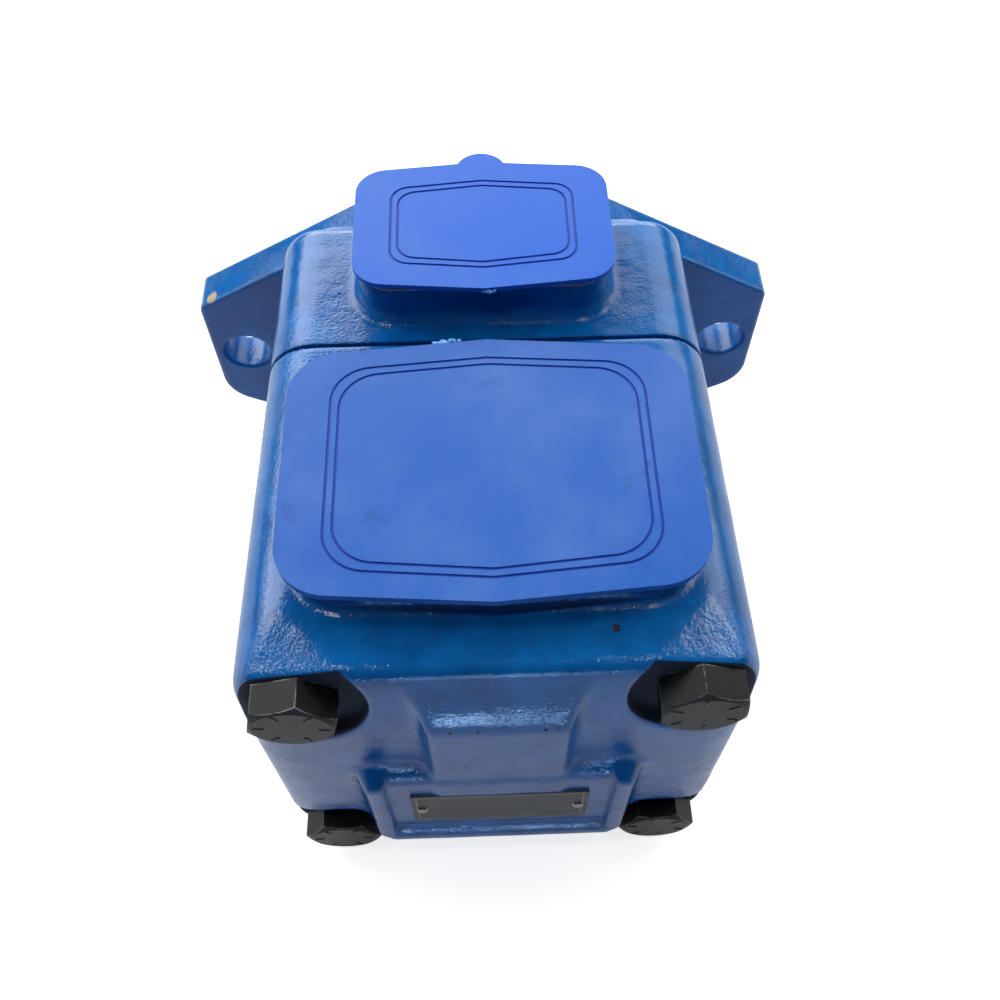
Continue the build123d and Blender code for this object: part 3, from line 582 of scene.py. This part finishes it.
def headMarks():
    g = gradeMarks
    bm = bmesh.new()
    middle = (g["inner"] + g["outer"]) / 2
    inHead = Matrix.Translation((middle, g["sink"] - g["height"] / 2, 0))
    size = Matrix.Diagonal((g["outer"] - g["inner"], g["height"], g["width"], 1))
    for n, centre in enumerate(screwCentres()):
        for i in range(g["count"]):
            turn = Matrix.Rotation(math.radians(360 / g["count"] * i + g["headTurn"] * n), 4, "Y")
            bmesh.ops.create_cube(bm, size=1, matrix=Matrix.Translation(centre) @ turn @ inHead @ size)
    bmesh.ops.bevel(bm, geom=bm.edges[:], offset=g["rounding"], segments=2, affect="EDGES")
    mesh = bpy.data.meshes.new("screwHeadMarks")
    bm.to_mesh(mesh)
    bm.free()
    piece = bpy.data.objects.new("screwHeadMarks", mesh)
    bpy.context.collection.objects.link(piece)
    mesh.materials.append(metal("phosphate"))
    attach(piece, "housing")


headMarks()
print("screw heads marked")

# stage: floor, sky, lamps, camera
stage = {"floorTone": rgb(196, 198, 200), "floorSize": 6.0, "floorSeen": 0.8, "floorMirrored": 0.25,
         "skyTint": (0.93, 0.96, 1.0, 1), "horizonLevel": 0.12, "zenithLevel": 0.05}
# name, place, aim, width, height, watts, tint
lamps = [
    ("frontLeftBox", (-0.95, 1.25, 1.15), (0, -0.04, 0.06), 2.0, 1.1, 38.0, (1, 1, 1)),
    ("frontRightBox", (1.0, 1.25, 1.15), (0, -0.04, 0.06), 2.0, 1.1, 19.0, (1, 1, 1)),
    ("frontLowBox", (0, 1.6, 0.55), (0, -0.05, 0.05), 2.0, 0.4, 16.0, (1, 1, 1)),
    ("leftHighBox", (-1.15, 0.25, 1.55), (0, -0.1, 0.05), 0.45, 0.45, 5.0, (1, 1, 1)),
    ("rightHighBox", (1.15, 0.25, 1.55), (0, -0.1, 0.05), 0.45, 0.45, 5.0, (1, 1, 1)),
    ("leftLowBox", (-1.5, 0.3, 0.6), (0, -0.1, 0), 0.9, 0.6, 3.0, (1, 1, 1)),
    ("rightLowBox", (1.5, 0.3, 0.6), (0, -0.1, 0), 0.9, 0.6, 2.6, (1, 1, 1)),
    ("rearLowBox", (0, -1.2, -0.012), (0, -0.19, 0.05), 0.24, 0.1, 1.5, (0.37, 0.62, 1.0)),
    ("leftSparkLamp", (-0.5, -0.38, 1.5), (0, -0.15, 0.05), 0.11, 0.11, 2.2, (1, 1, 1)),
    ("rightSparkLamp", (0.42, -0.34, 1.5), (0, -0.15, 0.05), 0.09, 0.09, 1.4, (1, 1, 1)),
]


def paleFloor():
    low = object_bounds()[0]
    mesh = bpy.data.meshes.new("floor")
    s = stage["floorSize"] / 2
    mesh.from_pydata([(-s, -s, 0), (s, -s, 0), (s, s, 0), (-s, s, 0)], [], [(0, 1, 2, 3)])
    floor = bpy.data.objects.new("floor", mesh)
    floor.location = (0, 0, low[2] - 0.0002)
    bpy.context.collection.objects.link(floor)
    f = Finish("floorPaint")
    seen = f.node("ShaderNodeLightPath", out="Is Camera Ray")
    through = f.node("ShaderNodeLightPath", out="Is Transmission Ray")
    mirrored = f.node("ShaderNodeLightPath", out="Is Glossy Ray").most(through)
    level = seen * stage["floorSeen"] + mirrored * stage["floorMirrored"]
    plain = f.node("ShaderNodeBsdfDiffuse", {}, {"Color": stage["floorTone"]})
    shine = f.node("ShaderNodeEmission", {}, {"Color": (1, 1, 1, 1), "Strength": level})
    both = f.node("ShaderNodeAddShader", {}, {0: plain, 1: shine})
    f.node("ShaderNodeOutputMaterial", {}, {"Surface": both})
    mesh.materials.append(f.material)


def softbox(name, place, aim, width, height, power, tint):
    light = bpy.data.lights.new(name, "AREA")
    light.shape = "RECTANGLE"
    light.size = width
    light.size_y = height
    light.energy = power
    light.color = tint
    lamp = bpy.data.objects.new(name, light)
    lamp.location = place
    lamp.rotation_euler = (Vector(aim) - Vector(place)).to_track_quat("-Z", "Y").to_euler()
    bpy.context.collection.objects.link(lamp)


def skyLight():
    world = bpy.data.worlds.new("studio")
    bpy.context.scene.world = world
    f = Finish("studio", world, "Generated")
    height = f.band(f.axes()[2], 0.06, 0.3)             # brighter near the horizon
    level = stage["horizonLevel"] + height * (stage["zenithLevel"] - stage["horizonLevel"])
    dim = f.node("ShaderNodeBackground", {}, {"Color": stage["skyTint"], "Strength": level})
    white = f.node("ShaderNodeBackground", {}, {"Color": (1, 1, 1, 1)})
    seen = f.node("ShaderNodeLightPath", out="Is Camera Ray")
    both = f.node("ShaderNodeMixShader", {}, {0: seen, 1: dim, 2: white})
    f.node("ShaderNodeOutputWorld", {}, {"Surface": both})


cameraView = {"lens": 38.16, "sensor": 36, "near": 0.01, "place": (-0.00185, -0.28090, 0.31248),
              "turn": (32.095, 0.230, -1.913)}


def takeCamera():
    c = cameraView
    lens = bpy.data.cameras.new("camera")
    lens.lens = c["lens"]
    lens.sensor_width = c["sensor"]
    lens.clip_start = c["near"]
    view = bpy.data.objects.new("camera", lens)
    view.location = c["place"]
    view.rotation_euler = [math.radians(a) for a in c["turn"]]
    bpy.context.collection.objects.link(view)
    bpy.context.scene.camera = view


paleFloor()
skyLight()
for lamp in lamps:
    softbox(*lamp)
takeCamera()
bpy.context.scene.view_settings.view_transform = "Standard"
print("stage set")
